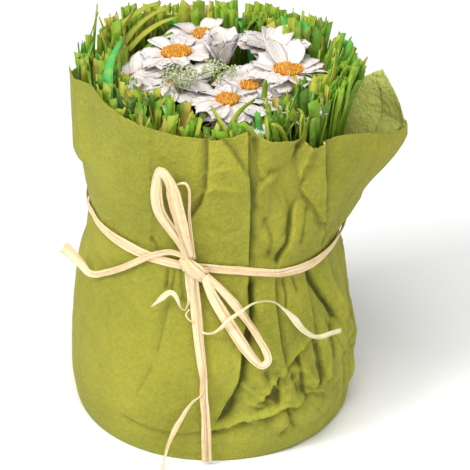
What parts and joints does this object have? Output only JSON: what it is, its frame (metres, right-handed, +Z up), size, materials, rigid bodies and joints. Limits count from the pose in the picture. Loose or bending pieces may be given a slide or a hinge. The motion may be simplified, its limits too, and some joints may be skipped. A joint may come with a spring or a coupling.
{
  "type": "bunch of daisies",
  "caption": "Standing bunch of white paper daisies set in a ring of shaved-wood grass, wrapped in mulberry paper and tied at the waist with a raffia bow.",
  "frame": {"origin": "centre of the flat foot that the bunch stands on", "axes": "+Z up through the middle of the bunch, -Y towards the bow on the front, +X towards the pointed paper ear"},
  "size_m": [0.1686, 0.1543, 0.2],
  "materials": {
    "mulberry_paper": "soft matt handmade paper with fine fibres",
    "foam": "dark porous dry floral foam",
    "grass": "dyed thin wood shavings, matt",
    "petals": "crinkled white wood-shaving petals, matt",
    "daisy_centres": "tufted ochre fibres",
    "stems": "green dyed sticks, matt",
    "filler": "tiny pale green dried buds",
    "raffia": "natural raffia, dry with a faint gloss"
  },
  "bodies": {
    "root": {"paper_wrap": "mulberry_paper", "foam_core": "foam", "grass_bundle_1": "grass", "grass_bundle_2": "grass", "grass_bundle_3": "grass", "grass_bundle_4": "grass", "grass_bundle_5": "grass", "grass_bundle_6": "grass", "grass_bundle_7": "grass", "grass_bundle_8": "grass", "grass_bundle_9": "grass", "grass_bundle_10": "grass", "daisy_1_petals": "petals", "daisy_1_centre": "daisy_centres", "daisy_1_stem": "stems", "daisy_2_petals": "petals", "daisy_2_centre": "daisy_centres", "daisy_2_stem": "stems", "daisy_3_petals": "petals", "daisy_3_centre": "daisy_centres", "daisy_3_stem": "stems", "daisy_4_petals": "petals", "daisy_4_centre": "daisy_centres", "daisy_4_stem": "stems", "daisy_5_petals": "petals", "daisy_5_centre": "daisy_centres", "daisy_5_stem": "stems", "daisy_6_petals": "petals", "daisy_6_centre": "daisy_centres", "daisy_6_stem": "stems", "daisy_7_petals": "petals", "daisy_7_centre": "daisy_centres", "daisy_7_stem": "stems", "daisy_8_petals": "petals", "daisy_8_centre": "daisy_centres", "daisy_8_stem": "stems", "daisy_9_petals": "petals", "daisy_9_centre": "daisy_centres", "daisy_9_stem": "stems", "daisy_10_petals": "petals", "daisy_10_centre": "daisy_centres", "daisy_10_stem": "stems", "daisy_11_petals": "petals", "daisy_11_centre": "daisy_centres", "daisy_11_stem": "stems", "filler_sprig_1": "filler", "filler_sprig_2": "filler", "raffia_band": "raffia", "raffia_knot": "raffia", "raffia_upper_loop": "raffia", "raffia_small_loop": "raffia", "raffia_lower_loop": "raffia", "raffia_left_tail": "raffia", "raffia_long_tail": "raffia", "raffia_thin_tail": "raffia", "raffia_right_curl": "raffia", "raffia_left_curl": "raffia"}
  },
  "joints": []
}
